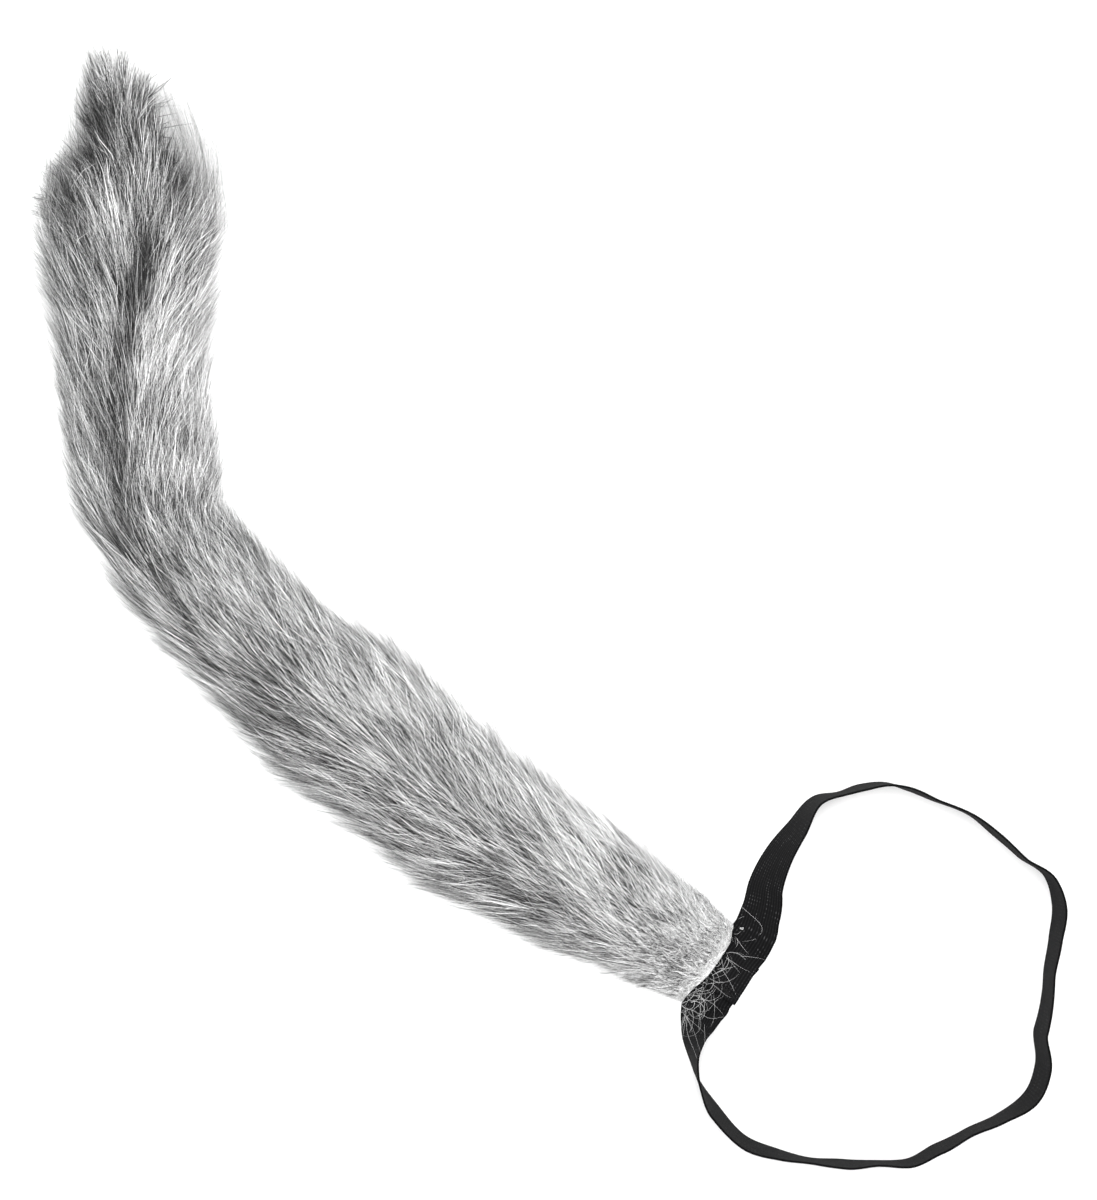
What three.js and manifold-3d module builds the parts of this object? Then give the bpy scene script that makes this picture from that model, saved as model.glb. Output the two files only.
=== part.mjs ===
// A costume tail of long-pile faux fur, sewn across a flat elastic waist band, as it lies on a table.
// Millimetres, +Z up, the table at z = 0, the origin on it under the middle of the whole thing.
// +X and +Y are the right and the top of a plan view. The band's loop is at the lower right, and the
// tail leaves it to the upper left, bends and ends at the top in a tuft.

import * as THREE from 'three';
import { mergeVertices } from 'three/addons/utils/BufferGeometryUtils.js';
import Module from 'manifold-3d';

const wasm = await Module();
wasm.setup();

// Waist band: one strip of ribbed elastic that stands on its edge and flops flat at the tail.
const bandWidth = 25;
const bandThickness = 1.2;
const loopRadius = 94.4;
const loopSections = 130;

// The band's seam: its two ends lie one on the other under the tail's mouth.
const seamAngle = 174.2;
const seamOverlap = 24;
const seamClimb = 22;
const pieceGap = 0.3;

// Sleeve: the fur's woven backing, sewn into a soft hollow tube with a flat mouth and a closed end.
const sleeveLength = 582;
const sleeveWidth = 50;
const sleeveHeight = 25;
const backingThickness = 2;
const mouthWidth = 46;
const mouthSlit = 1.6;
const mouthLap = 3.2;
const mouthShift = 1.8;
const mouthRun = 70;

// Pile: the fur's outer form, a mat of packed hair with locks fused to it.
const furWidth = 99;
const furHeight = 54;
const furSink = 9;
const bedding = 7;
const grooveDepth = 7;
const grooveWidth = 9;
const matShare = 0.6;
const matStart = 8;
const matFull = 36;
const lockLength = 56;
const lockWidth = 18;
const lockThickness = 7;
const lockRootShare = 0.55;
const lockSwayAngle = 0.35;
const lockRowPitch = 29;
const lockStart = 8;
const locksPerRow = 8;
const lockSpread = 250;
const tuftStartShare = 0.9;
const tuftLength = 49;

// The band's lower edge as it runs round the loop. turn is in degrees round the loop's middle, foot is
// the edge's distance from it as a share of loopRadius, and lean is the face's slope: 0 is flat on the
// table with the outer face up, 90 stands on its edge, and more leans outwards.
const loopTable = [
  { turn: 0, foot: 0.931, lean: 93 },
  { turn: 12, foot: 0.982, lean: 95 },
  { turn: 22, foot: 1.055, lean: 97 },
  { turn: 30, foot: 1.083, lean: 94 },
  { turn: 40, foot: 1.023, lean: 92 },
  { turn: 50, foot: 1.01, lean: 94 },
  { turn: 60, foot: 1.024, lean: 92 },
  { turn: 71, foot: 1.014, lean: 93 },
  { turn: 80, foot: 1.034, lean: 95 },
  { turn: 88, foot: 1.06, lean: 90 },
  { turn: 95, foot: 1.05, lean: 87 },
  { turn: 102, foot: 1.025, lean: 90 },
  { turn: 108, foot: 1.04, lean: 84 },
  { turn: 120, foot: 0.964, lean: 69 },
  { turn: 130, foot: 0.922, lean: 59 },
  { turn: 143, foot: 0.867, lean: 48 },
  { turn: 152, foot: 0.826, lean: 39 },
  { turn: 157.5, foot: 0.822, lean: 30 },
  { turn: 162.5, foot: 0.847, lean: 9 },
  { turn: 167.6, foot: 0.88, lean: 0 },
  { turn: 174.2, foot: 0.932, lean: 0 },
  { turn: 180, foot: 0.994, lean: 0 },
  { turn: 184, foot: 1.043, lean: 0 },
  { turn: 187.5, foot: 1.072, lean: 8 },
  { turn: 193, foot: 1.098, lean: 40 },
  { turn: 198.5, foot: 1.115, lean: 63 },
  { turn: 204, foot: 1.118, lean: 82 },
  { turn: 211, foot: 1.131, lean: 91 },
  { turn: 219, foot: 1.126, lean: 101 },
  { turn: 230, foot: 1.14, lean: 98 },
  { turn: 241, foot: 1.1, lean: 92 },
  { turn: 250, foot: 1.074, lean: 86 },
  { turn: 260, foot: 1.034, lean: 90 },
  { turn: 270, foot: 1.025, lean: 85 },
  { turn: 279, foot: 1.032, lean: 88 },
  { turn: 290, foot: 0.989, lean: 91 },
  { turn: 300, foot: 0.986, lean: 88 },
  { turn: 311, foot: 1.021, lean: 90 },
  { turn: 322, foot: 1.049, lean: 97 },
  { turn: 331, foot: 1.012, lean: 99 },
  { turn: 342, foot: 0.926, lean: 96 },
];

// The tail from its mouth to its closed end. along is a share of sleeveLength, bend is in degrees from
// the way the tail leaves the band, sleeve is a share of sleeveWidth and sleeveHeight, fur a share of
// furWidth, loft a share of furHeight, and groove a share of grooveDepth.
const tailTable = [
  { along: 0, bend: 0, sleeve: 1, fur: 0.5, loft: 0.17, groove: 0 },
  { along: 0.045, bend: 1.5, sleeve: 0.94, fur: 0.61, loft: 0.42, groove: 0 },
  { along: 0.09, bend: 4, sleeve: 0.94, fur: 0.68, loft: 0.62, groove: 0.1 },
  { along: 0.18, bend: 4.3, sleeve: 0.96, fur: 0.78, loft: 0.86, groove: 0.2 },
  { along: 0.27, bend: -2.3, sleeve: 1, fur: 0.89, loft: 1, groove: 0.2 },
  { along: 0.33, bend: -4.5, sleeve: 1, fur: 0.89, loft: 1, groove: 0.2 },
  { along: 0.4, bend: -2.6, sleeve: 1, fur: 0.9, loft: 1, groove: 0.3 },
  { along: 0.49, bend: -9.6, sleeve: 0.92, fur: 0.76, loft: 0.93, groove: 0.4 },
  { along: 0.58, bend: -14, sleeve: 0.88, fur: 0.74, loft: 0.9, groove: 0.7 },
  { along: 0.625, bend: -28, sleeve: 0.84, fur: 0.71, loft: 0.88, groove: 1 },
  { along: 0.67, bend: -43.5, sleeve: 0.88, fur: 0.78, loft: 0.9, groove: 0.9 },
  { along: 0.76, bend: -51, sleeve: 0.94, fur: 0.77, loft: 0.93, groove: 0.8 },
  { along: 0.85, bend: -55.5, sleeve: 0.94, fur: 0.92, loft: 0.96, groove: 0.8 },
  { along: 0.9, bend: -57, sleeve: 0.82, fur: 1, loft: 0.93, groove: 0.5 },
  { along: 0.945, bend: -53, sleeve: 0.58, fur: 0.95, loft: 0.84, groove: 0.2 },
  { along: 0.965, bend: -43, sleeve: 0.44, fur: 0.84, loft: 0.78, groove: 0.1 },
  { along: 0.99, bend: -40, sleeve: 0.28, fur: 0.6, loft: 0.71, groove: 0 },
  { along: 1.02, bend: -51, sleeve: 0.14, fur: 0.5, loft: 0.64, groove: 0 },
  { along: 1.09, bend: -54, sleeve: 0.02, fur: 0.26, loft: 0.4, groove: 0 },
];

const radians = (degrees) => THREE.MathUtils.degToRad(degrees);
const mix = THREE.MathUtils.lerp;
const ease = THREE.MathUtils.smoothstep;

// A smooth curve through one column of a table that never overshoots its rows. A table with a period
// joins its last row to its first.
function columnCurve(table, key, column, period = 0) {
  const knots = table.map((row) => [row[key], row[column]]);
  if (period) {
    const [first, second] = knots;
    const [beforeLast, last] = knots.slice(-2);
    knots.unshift([beforeLast[0] - period, beforeLast[1]], [last[0] - period, last[1]]);
    knots.push([first[0] + period, first[1]], [second[0] + period, second[1]]);
  }
  const rise = knots.slice(1).map(([x, y], i) => (y - knots[i][1]) / (x - knots[i][0]));
  const slopes = knots.map((_, i) => {
    const before = rise[i - 1] ?? rise[i];
    const after = rise[i] ?? rise[i - 1];
    return before * after <= 0 ? 0 : (2 * before * after) / (before + after);
  });
  return (at) => {
    const x = period ? THREE.MathUtils.euclideanModulo(at, period) : at;
    const next = knots.findIndex((knot) => knot[0] >= x);
    if (next < 0) return knots.at(-1)[1];
    const i = Math.max(next, 1) - 1;
    const span = knots[i + 1][0] - knots[i][0];
    const t = THREE.MathUtils.clamp((x - knots[i][0]) / span, 0, 1);
    const [t2, t3] = [t * t, t * t * t];
    return (2 * t3 - 3 * t2 + 1) * knots[i][1] + (t3 - 2 * t2 + t) * span * slopes[i]
      + (3 * t2 - 2 * t3) * knots[i + 1][1] + (t3 - t2) * span * slopes[i + 1];
  };
}

// A closed body through rings of points. Every ring has as many points, in the same order, seen
// anticlockwise from the last ring. It starts in a flat cap and ends in one too, or in a tip.
function loft(rings, tip = null) {
  const count = rings[0].length;
  const points = tip ? [...rings.flat(), tip] : rings.flat();
  const positions = points.flatMap((p) => [p.x, p.y, p.z]);
  const faces = [];
  for (let r = 0; r + 1 < rings.length; r++) {
    for (let i = 0; i < count; i++) {
      const [a, b] = [r * count + i, r * count + ((i + 1) % count)];
      faces.push(a, b, b + count, a, b + count, a + count);
    }
  }
  const last = (rings.length - 1) * count;
  for (let i = 1; i + 1 < count; i++) {
    faces.push(0, i + 1, i);
    if (!tip) faces.push(last, last + i, last + i + 1);
  }
  if (tip) {
    for (let i = 0; i < count; i++) faces.push(last + i, last + ((i + 1) % count), last + count);
  }
  const geometry = new THREE.BufferGeometry();
  geometry.setAttribute('position', new THREE.Float32BufferAttribute(positions, 3));
  geometry.setIndex(faces);
  return geometry;
}

function solidFrom(geometry) {
  const bare = geometry.clone();
  bare.deleteAttribute('normal');
  bare.deleteAttribute('uv');
  const merged = mergeVertices(bare, 1e-4);
  return new wasm.Manifold(new wasm.Mesh({
    numProp: 3,
    vertProperties: merged.attributes.position.array,
    triVerts: new Uint32Array(merged.index.array),
  }));
}

function geometryFrom(solid) {
  const { vertProperties, triVerts } = solid.getMesh();
  const geometry = new THREE.BufferGeometry();
  geometry.setAttribute('position', new THREE.BufferAttribute(vertProperties, 3));
  geometry.setIndex(new THREE.BufferAttribute(triVerts, 1));
  return geometry;
}

// Waist band

const footAt = columnCurve(loopTable, 'turn', 'foot', 360);
const leanAt = columnCurve(loopTable, 'turn', 'lean', 360);

function footPoint(turn) {
  const reach = footAt(turn) * loopRadius;
  return new THREE.Vector3(reach * Math.cos(radians(turn)), reach * Math.sin(radians(turn)), 0);
}

// The lower edge's line, measured from the seam's middle, so that a length along it gives a turn.
const lapStep = 0.5;
const lapTurns = Array.from({ length: 360 / lapStep + 1 }, (_, i) => seamAngle + i * lapStep);
const lapLengths = [0];
for (let i = 1; i < lapTurns.length; i++) {
  const step = footPoint(lapTurns[i]).distanceTo(footPoint(lapTurns[i - 1]));
  lapLengths.push(lapLengths[i - 1] + step);
}
const lapLength = lapLengths.at(-1);

function turnAtLength(length) {
  const along = THREE.MathUtils.euclideanModulo(length, lapLength);
  const i = Math.max(lapLengths.findIndex((l) => l >= along), 1);
  const share = (along - lapLengths[i - 1]) / (lapLengths[i] - lapLengths[i - 1]);
  return mix(lapTurns[i - 1], lapTurns[i], share);
}

// The band's own directions at a length along it: run is along it, across goes from its lower edge to
// its upper one, and out is its outer face's.
function bandFrame(length) {
  const turn = turnAtLength(length);
  const run = footPoint(turn + lapStep).sub(footPoint(turn - lapStep)).normalize();
  const inward = new THREE.Vector3(-run.y, run.x, 0);
  const lean = radians(leanAt(turn));
  const across = inward.clone().multiplyScalar(Math.cos(lean)).setZ(Math.sin(lean));
  const out = inward.clone().multiplyScalar(-Math.sin(lean)).setZ(Math.cos(lean));
  return { foot: footPoint(turn), lean, run, inward, across, out };
}

function waistBand() {
  const rings = [];
  const start = -seamOverlap / 2;
  const end = lapLength + seamOverlap / 2;
  const climbEnd = lapLength - seamOverlap / 2;
  for (let i = 0; i <= loopSections; i++) {
    const length = mix(start, end, i / loopSections);
    const { foot, lean, across, out } = bandFrame(length);
    const climb = ease(length, climbEnd - seamClimb, climbEnd) * (bandThickness + pieceGap);
    const height = Math.abs(Math.cos(lean)) * bandThickness / 2 + climb;
    rings.push([[0, -1], [1, -1], [1, 1], [0, 1]].map(([edge, face]) => foot.clone().setZ(height)
      .addScaledVector(across, edge * bandWidth).addScaledVector(out, face * bandThickness / 2)));
  }
  return loft(rings);
}

// Tail

const bendAt = columnCurve(tailTable, 'along', 'bend');
const sleeveAt = columnCurve(tailTable, 'along', 'sleeve');
const furAt = columnCurve(tailTable, 'along', 'fur');
const loftAt = columnCurve(tailTable, 'along', 'loft');
const grooveAt = columnCurve(tailTable, 'along', 'groove');

// The tail's course: its middle line in plan, from the middle of the mouth, which overlaps the band.
const seam = bandFrame(0);
const leaving = Math.atan2(-seam.inward.y, -seam.inward.x);
const courseStep = 1 / 200;
const courseEnd = 1.12;
const course = [seam.foot.addScaledVector(seam.inward, mouthLap).addScaledVector(seam.run, mouthShift)];
for (let along = 0; along < courseEnd; along += courseStep) {
  const heading = leaving + radians(bendAt(along + courseStep / 2));
  const { x, y } = course.at(-1);
  const stride = courseStep * sleeveLength;
  course.push(new THREE.Vector3(x + Math.cos(heading) * stride, y + Math.sin(heading) * stride, 0));
}

function courseAt(along) {
  const i = THREE.MathUtils.clamp(Math.floor(along / courseStep), 0, course.length - 2);
  const share = along / courseStep - i;
  const heading = leaving + radians(bendAt(along));
  return {
    x: mix(course[i].x, course[i + 1].x, share),
    y: mix(course[i].y, course[i + 1].y, share),
    side: { x: -Math.sin(heading), y: Math.cos(heading) },
  };
}

// The height of the band's two layers, which the mouth lies on.
const mouthFloor = 2 * bandThickness + 2 * pieceGap;

// One section of the tail: the sleeve's and the fur's half widths, and their lowest and highest points.
function section(along) {
  const open = ease(along * sleeveLength, 0, mouthRun);
  const flat = mouthSlit + 2 * backingThickness;
  const sleeveTall = mix(flat, sleeveAt(along) * sleeveHeight, open);
  const sleeveLow = mix(mouthFloor, bedding, open);
  return {
    sleeveHalf: mix(mouthWidth, sleeveAt(along) * sleeveWidth, open) / 2,
    sleeveLow,
    sleeveHigh: sleeveLow + sleeveTall,
    furHalf: furAt(along) * furWidth / 2,
    furHigh: Math.max(loftAt(along) * furHeight, sleeveLow + sleeveTall),
    groove: grooveAt(along) * grooveDepth,
  };
}

// A point of the tail. around is in radians from its left side over its top, and pile is 0 on the
// sleeve, 1 at the outermost hair, and negative by a share of the backing's thickness inside it.
function tailPoint(along, around, pile) {
  const { x, y, side } = courseAt(along);
  const s = section(along);
  const inset = Math.max(-pile, 0) * backingThickness;
  const share = Math.max(pile, 0);
  const middle = (s.sleeveLow + s.sleeveHigh) / 2;
  const half = mix(s.sleeveHalf, s.furHalf, share) - inset;
  const tall = (s.sleeveHigh - s.sleeveLow) / 2 - inset;
  const reach = Math.sin(around) > 0 ? s.furHigh - middle : middle + furSink;
  const rise = mix(tall, reach, share) * Math.sin(around);
  const across = half * Math.cos(around);
  const dip = s.groove * Math.exp(-((across / grooveWidth) ** 2)) * Math.max(Math.sin(around), 0);
  return new THREE.Vector3(x + side.x * across, y + side.y * across, middle + rise - dip);
}

// The mat: the sleeve's hollow tube with the packed part of the pile on its outside. Its rings run from
// the inside of the closed end out of the mouth and back over the outside.
const matSides = 16;
const matRings = 34;
const hollowRings = 18;
const hollowEndShare = 0.965;
const matEndShare = 1.03;
const crownStartShare = 0.92;
const mouthCrowdingPower = 1.3;

// The mat's outside as a share of the pile: it grows from nothing at the mouth and closes in a dome.
function matPile(along) {
  const crown = Math.max(0, (along - crownStartShare) / (matEndShare - crownStartShare));
  return ease(along * sleeveLength, matStart, matFull) * matShare * Math.sqrt(1 - crown ** 2);
}

function ring(along, pile) {
  return Array.from({ length: matSides }, (_, i) => {
    return tailPoint(along, 2 * Math.PI * i / matSides, pile);
  });
}

function furMat() {
  const rings = [];
  for (let i = 0; i <= hollowRings; i++) {
    rings.push(ring(hollowEndShare * (1 - i / hollowRings), -1));
  }
  for (let i = 0; i <= matRings; i++) {
    const along = matEndShare * (i / matRings) ** mouthCrowdingPower;
    rings.push(ring(along, matPile(along)));
  }
  return loft(rings);
}

// A repeatable jitter between -1 and 1 for the lock with this number.
function jitter(number, salt) {
  const wave = Math.sin(number * 12.9898 + salt * 78.233) * 43758.5453;
  return 2 * (wave - Math.floor(wave)) - 1;
}

// A lock of hair: a three-sided spike that leaves the mat, follows the tail and ends in a point on the
// fur's outer form. at is a share of its length, and swell one of its width and thickness.
const lockTable = [
  { at: 0, swell: 0.4 },
  { at: 0.36, swell: 1 },
  { at: 0.72, swell: 0.66 },
];

function lock(root, around, length, sway) {
  const reach = length / sleeveLength;
  const rise = (t) => mix(lockRootShare * matPile(root), 1, t ** 0.8);
  const spine = (t, above = 0) => tailPoint(root + reach * t, around + sway * t, rise(t) + above);
  const rings = lockTable.map(({ at, swell }) => {
    const here = spine(at);
    const run = spine(at + 0.01).sub(here).normalize();
    const out = spine(at, 0.1).sub(here);
    out.addScaledVector(run, -out.dot(run)).normalize();
    const wide = new THREE.Vector3().crossVectors(out, run).normalize();
    const [w, h] = [swell * lockWidth / 2, swell * lockThickness / 2];
    return [[w, -h], [0, h], [-w, -h]].map(([a, b]) => {
      return here.clone().addScaledVector(wide, a).addScaledVector(out, b);
    });
  });
  return loft(rings, spine(1));
}

// Rows of locks from the mouth to the closed end, over the top and the sides of the tail. They lean away
// from the parting along its top.
function furLocks() {
  const locks = [];
  const rows = Math.ceil((sleeveLength - lockStart) / lockRowPitch);
  const start = radians(90 - lockSpread / 2);
  for (let row = 0; row < rows; row++) {
    for (let i = 0; i < locksPerRow; i++) {
      const number = row * locksPerRow + i;
      const root = (lockStart + (row + 0.3 + 0.3 * jitter(number, 1)) * lockRowPitch) / sleeveLength;
      const place = i + 0.25 + (row % 2) / 2 + 0.2 * jitter(number, 2);
      const around = start + radians(lockSpread) * place / locksPerRow;
      const full = root > tuftStartShare ? tuftLength : lockLength;
      const length = full * (1 + 0.18 * jitter(number, 3));
      const sway = lockSwayAngle * (0.3 * jitter(number, 4) - Math.sin(2 * around));
      locks.push(solidFrom(lock(root, around, length, sway)));
    }
  }
  return locks;
}

// Where the tail lies its hair is pressed flat, so all below the table is cut away.
function tableCut() {
  const slab = new THREE.BoxGeometry(4 * sleeveLength, 4 * sleeveLength, furHeight);
  slab.translate(0, 0, -furHeight / 2);
  return solidFrom(slab);
}

function furTail() {
  const fused = wasm.Manifold.union([solidFrom(furMat()), ...furLocks()]).subtract(tableCut());
  const shells = fused.decompose().filter((shell) => shell.volume() > 0);
  shells.sort((a, b) => b.volume() - a.volume());
  return geometryFrom(shells[0]);
}

function part(name, geometry, color, roughness) {
  const material = new THREE.MeshStandardMaterial({ color, roughness, metalness: 0 });
  const mesh = new THREE.Mesh(geometry, material);
  mesh.name = name;
  return mesh;
}

const tail = new THREE.Group();
tail.add(part('waist_band', waistBand(), 0x1c1c1e, 0.8));
tail.add(part('fur_tail', furTail(), 0x8f9092, 0.75));

const footprint = new THREE.Box3().setFromObject(tail);
const middle = footprint.getCenter(new THREE.Vector3());
tail.position.set(-middle.x, -middle.y, -footprint.min.z);

export default tail;
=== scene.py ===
"""A grey long-haired costume tail on a black waist elastic, lying on a pale table and seen from above."""
import bpy
import math
import numpy as np
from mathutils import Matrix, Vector
from mathutils.kdtree import KDTree

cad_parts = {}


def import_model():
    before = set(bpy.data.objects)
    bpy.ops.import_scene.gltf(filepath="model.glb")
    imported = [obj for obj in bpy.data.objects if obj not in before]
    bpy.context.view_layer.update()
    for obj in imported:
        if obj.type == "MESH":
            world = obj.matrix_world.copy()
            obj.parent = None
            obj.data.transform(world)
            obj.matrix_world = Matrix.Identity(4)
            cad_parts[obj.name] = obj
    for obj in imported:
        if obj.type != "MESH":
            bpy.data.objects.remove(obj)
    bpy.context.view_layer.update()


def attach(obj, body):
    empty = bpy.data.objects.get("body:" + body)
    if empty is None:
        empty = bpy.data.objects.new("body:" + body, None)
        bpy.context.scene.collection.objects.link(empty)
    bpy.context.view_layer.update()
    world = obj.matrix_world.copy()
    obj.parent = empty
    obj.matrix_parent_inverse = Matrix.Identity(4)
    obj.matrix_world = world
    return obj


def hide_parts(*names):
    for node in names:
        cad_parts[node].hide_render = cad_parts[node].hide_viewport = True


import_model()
rng = np.random.default_rng(4786)
scene = bpy.context.scene

# Sizes in millimetres, the same as in the CAD source. Turns are in degrees.
LOOP_CENTRE = np.array([167.66, -197.98, 0.0])
BAND_WIDTH, BAND_THICK, LOOP_R = 25.0, 1.2, 94.4
SEAM_TURN, OVERLAP, CLIMB, GAP = 174.2, 24.0, 22.0, 0.3
SLEEVE_LEN, SLEEVE_W, SLEEVE_H, BACKING = 582.0, 50.0, 25.0, 2.0
MOUTH_W, MOUTH_SLIT, MOUTH_LAP, MOUTH_SHIFT, MOUTH_RUN = 46.0, 1.6, 3.2, 1.8, 70.0
FUR_W, FUR_H, FUR_SINK, BEDDING = 99.0, 54.0, 9.0, 7.0
MOUTH_FLOOR = 2 * BAND_THICK + 2 * GAP

# Steps along the two courses: degrees round the loop, how far each way a tangent looks, shares along.
TURN_STEP, TANGENT_TURN, COURSE_STEP, COURSE_END = 0.5, 0.8, 0.0025, 1.15

# The tip, as shares along: where roots begin to spread all round, where the tuft starts and where it is
# fully sunk. Then the share of its height that it loses, and the width its lines keep, as a share.
ROUND_FROM, TUFT_FROM, TUFT_TO, TUFT_SINK, TUFT_W = 0.84, 0.93, 1.07, 0.62, 0.97

# The parting's half width in mm, and the share along over which the mouth's bow dies out.
PARTING_HALF, BOW_RUN = 9, 0.05

# Round the loop: turn in degrees, the lower edge's distance as a share of LOOP_R, the face's lean.
LOOP = np.array([
    (0, 0.931, 93), (12, 0.982, 95), (22, 1.055, 97), (30, 1.083, 94), (40, 1.023, 92), (50, 1.01, 94),
    (60, 1.024, 92), (71, 1.014, 93), (80, 1.034, 95), (88, 1.06, 90), (95, 1.05, 87), (102, 1.025, 90),
    (108, 1.04, 84), (120, 0.964, 69), (130, 0.922, 59), (143, 0.867, 48), (152, 0.826, 39),
    (157.5, 0.822, 30), (162.5, 0.847, 9), (167.6, 0.88, 0), (174.2, 0.932, 0), (180, 0.994, 0),
    (184, 1.043, 0), (187.5, 1.072, 8), (193, 1.098, 40), (198.5, 1.115, 63), (204, 1.118, 82),
    (211, 1.131, 91), (219, 1.126, 101), (230, 1.14, 98), (241, 1.1, 92), (250, 1.074, 86),
    (260, 1.034, 90), (270, 1.025, 85), (279, 1.032, 88), (290, 0.989, 91), (300, 0.986, 88),
    (311, 1.021, 90), (322, 1.049, 97), (331, 1.012, 99), (342, 0.926, 96)], float)

# Along the tail: share of SLEEVE_LEN, bend in degrees, then sleeve, fur, loft as shares.
TAIL = np.array([
    (0, 0, 1, 0.5, 0.17), (0.045, 1.5, 0.94, 0.61, 0.42), (0.09, 4, 0.94, 0.68, 0.62),
    (0.18, 4.3, 0.96, 0.78, 0.86), (0.27, -2.3, 1, 0.89, 1), (0.33, -4.5, 1, 0.89, 1),
    (0.4, -2.6, 1, 0.9, 1), (0.49, -9.6, 0.92, 0.76, 0.93), (0.58, -14, 0.88, 0.74, 0.9),
    (0.625, -28, 0.84, 0.71, 0.88), (0.67, -43.5, 0.88, 0.78, 0.9), (0.76, -51, 0.94, 0.77, 0.93),
    (0.85, -55.5, 0.94, 0.92, 0.96), (0.9, -57, 0.82, 1, 0.93), (0.945, -53, 0.58, 0.95, 0.84),
    (0.965, -43, 0.44, 0.84, 0.78), (0.99, -40, 0.28, 0.6, 0.71), (1.02, -51, 0.14, 0.5, 0.64),
    (1.09, -54, 0.02, 0.26, 0.4)], float)

# The parting on top: share along, its depth and how far left of the middle it runs, in mm.
PARTING = np.array([
    (0, 0, 8), (0.1, 1.5, 15), (0.18, 2.2, 19), (0.3, 3, 22), (0.42, 3, 24), (0.5, 3.4, 21), (0.58, 5, 17),
    (0.64, 6, 13), (0.7, 6, 12), (0.74, 6, 7), (0.79, 6, 0), (0.84, 6, -8), (0.87, 5, -10), (0.92, 3, -6),
    (0.96, 1, 0), (1.1, 0, 0)], float)

# The mouth's cut edge: mm to the left of its middle, and how far it bows out over the band.
BOW = np.array([
    (-26, -3), (-22, -1.4), (-15, 1.4), (-6, 2), (6, 1.6), (14, -0.4), (20, -1.2), (27, -0.8)], float)

# Where the hair ends at the tip: mm to the left of the middle, share along.
TIP = np.array([
    (-56, 0.85), (-49, 0.915), (-44, 0.943), (-34, 0.952), (-25, 0.962), (-21, 0.99), (-18.5, 1.04),
    (-15, 1.062), (0, 1.082), (16, 1.08), (22, 1.068), (26, 1.04), (29, 1.006), (34, 0.987), (42, 0.977),
    (48, 0.966), (52, 0.93), (57, 0.86)], float)

# The same for the thin hair of the fringe, which reaches farther.
FRINGE_TIP = np.array([
    (-57, 0.86), (-50, 0.925), (-44, 0.955), (-39, 0.985), (-31, 1.035), (-24, 1.05), (-18, 1.065),
    (0, 1.095), (14, 1.095), (24, 1.07), (30, 1.035), (38, 0.998), (47, 0.985), (52, 0.95),
    (57, 0.87)], float)

# How light the pile is along the tail, as a change of tone.
LEVEL = np.array([
    (0, 0.06), (0.08, 0.05), (0.15, -0.02), (0.25, -0.06), (0.36, -0.09), (0.47, -0.16), (0.55, -0.07),
    (0.75, -0.09), (0.84, -0.24), (0.9, -0.4), (0.96, -0.45), (1.0, -0.22), (1.04, 0.15),
    (1.1, 0.28)], float)

# Darker and lighter places in the pile: share along, mm to the left, radius in mm, change of tone.
PLACES = np.array([
    (0.995, 14, 7, -0.45), (0.965, 26, 7, -0.5), (0.915, 36, 7, -0.25), (0.932, -30, 7, -0.5),
    (1.005, -13, 5, -0.3), (0.853, 16, 6, -0.3), (0.872, -11, 6, -0.5), (0.85, -9, 6, -0.45),
    (0.827, -5, 6, -0.35), (0.79, -1, 7, -0.22), (0.745, 4, 7, -0.18), (0.895, 19, 11, 0.2),
    (0.995, -3, 6, 0.3), (0.47, 6, 5, -0.25), (0.36, 14, 4, -0.2),
    (0.3, 2, 5, 0.15), (0.2, -4, 6, -0.14), (0.53, -12, 7, 0.16), (0.605, -4, 5, -0.2)], float)


def curve(x, y, period=0):
    """A smooth curve through the points that never overshoots them."""
    x, y = np.array(x, float), np.array(y, float)
    if period:
        x = np.r_[x[-2:] - period, x, x[:2] + period]
        y = np.r_[y[-2:], y, y[:2]]
    rise = np.diff(y) / np.diff(x)
    before, after = np.r_[rise[:1], rise], np.r_[rise, rise[-1:]]
    total = np.where(before * after > 0, before + after, 1)
    slope = np.where(before * after > 0, 2 * before * after / total, 0)

    def at(v):
        v = np.asarray(v, float)
        v = np.mod(v, period) if period else np.clip(v, x[0], x[-1])
        i = np.clip(np.searchsorted(x, v, "right") - 1, 0, len(x) - 2)
        span = x[i + 1] - x[i]
        t = (v - x[i]) / span
        t2, t3 = t * t, t * t * t
        return ((2 * t3 - 3 * t2 + 1) * y[i] + (t3 - 2 * t2 + t) * span * slope[i]
                + (3 * t2 - 2 * t3) * y[i + 1] + (t3 - t2) * span * slope[i + 1])
    return at


def ease(v, low, high):
    """Rises smoothly from 0 at low to 1 at high."""
    t = np.clip((v - low) / (high - low), 0, 1)
    return t * t * (3 - 2 * t)


def unit(v):
    return v / np.maximum(np.linalg.norm(v, axis=-1, keepdims=True), 1e-9)


# The band's own frame.
foot_at = curve(LOOP[:, 0], LOOP[:, 1], 360)
lean_at = curve(LOOP[:, 0], LOOP[:, 2], 360)


def foot_point(turn):
    """Where the band's lower edge stands on the table."""
    a = np.radians(turn)
    r = foot_at(turn) * LOOP_R
    return np.stack([r * np.cos(a), r * np.sin(a), np.zeros_like(r)], -1)


lap_turns = SEAM_TURN + np.arange(0, 360 + TURN_STEP / 2, TURN_STEP)
lap_lengths = np.r_[0, np.cumsum(np.linalg.norm(np.diff(foot_point(lap_turns), axis=0), axis=1))]
LAP = lap_lengths[-1]


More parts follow.
